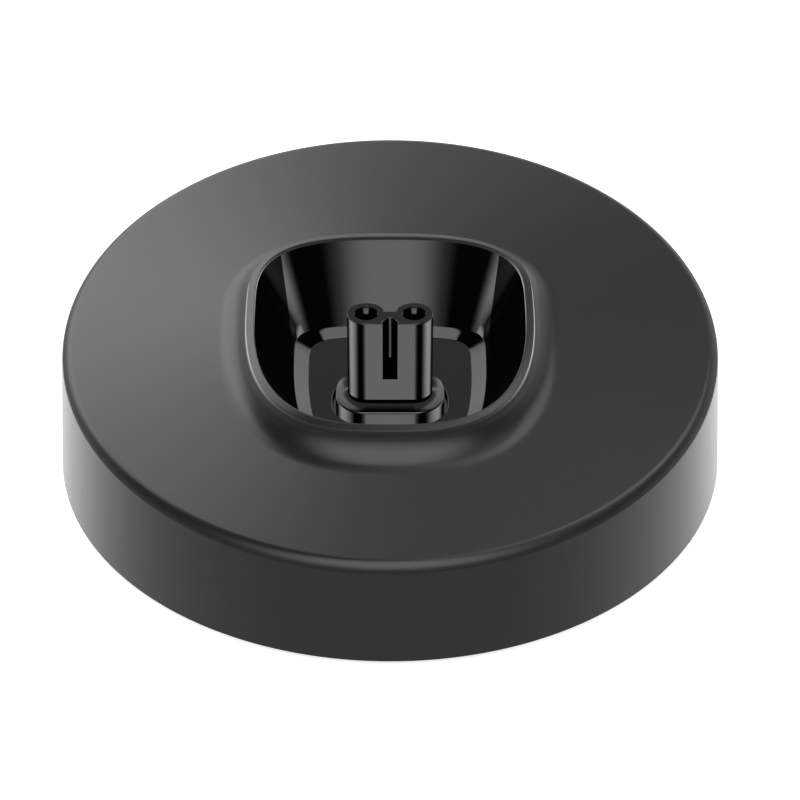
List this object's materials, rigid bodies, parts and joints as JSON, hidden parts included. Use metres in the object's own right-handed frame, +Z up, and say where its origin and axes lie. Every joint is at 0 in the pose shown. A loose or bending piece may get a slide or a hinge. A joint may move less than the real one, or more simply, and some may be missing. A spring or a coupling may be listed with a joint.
{
  "type": "shaver charging stand",
  "caption": "Round charging stand for a hand shaver, with a sloping top, a deep well and a floating two-pole connector.",
  "frame": {"origin": "middle of the base, on the surface that the feet stand on", "axes": "+Z up, -Y to the front (the low side of the sloping top), +X to the right"},
  "size_m": [0.11, 0.11, 0.0314],
  "materials": {
    "matte_black": "fine-grained matte",
    "gloss_black": "polished",
    "black_rubber": "matte",
    "brass_contact": "plated",
    "spring_steel": "bright",
    "zinc_steel": "zinc plated",
    "ballast_steel": "blanked sheet",
    "nickel_pin": "nickel plated",
    "grey_plastic": "satin",
    "natural_nylon": "satin",
    "red_sleeving": "soft sheen",
    "black_sleeving": "soft sheen"
  },
  "bodies": {
    "stand": {"top_housing": "matte_black", "well_liner": "gloss_black", "spring_left": "spring_steel", "spring_right": "spring_steel", "spring_tray": "grey_plastic", "tray_screws": "zinc_steel", "terminal_left": "brass_contact", "terminal_right": "brass_contact", "lead_left": "red_sleeving", "lead_right": "black_sleeving", "lead_clip": "natural_nylon", "clip_screw": "zinc_steel", "inlet_body": "gloss_black", "inlet_pin_left": "nickel_pin", "inlet_pin_right": "nickel_pin", "inlet_seal": "black_rubber", "inlet_screws": "zinc_steel", "liner_screws": "zinc_steel", "ballast_plate": "ballast_steel", "ballast_screws": "zinc_steel", "base_plate": "matte_black", "housing_screws": "zinc_steel", "foot_front": "black_rubber", "foot_back": "black_rubber", "foot_left": "black_rubber", "foot_right": "black_rubber"},
    "connector": {"connector_body": "gloss_black", "contact_left": "brass_contact", "contact_right": "brass_contact", "connector_seal": "black_rubber"}
  },
  "joints": [
    {"name": "connector_float", "type": "slide", "parent": "stand", "child": "connector", "axis": [0, 0, 1], "range_m": [-0.0012, 0], "stiffness_N_per_m": 2000, "springref_m": 0.001, "deforming": ["spring_left", "spring_right"]}
  ]
}
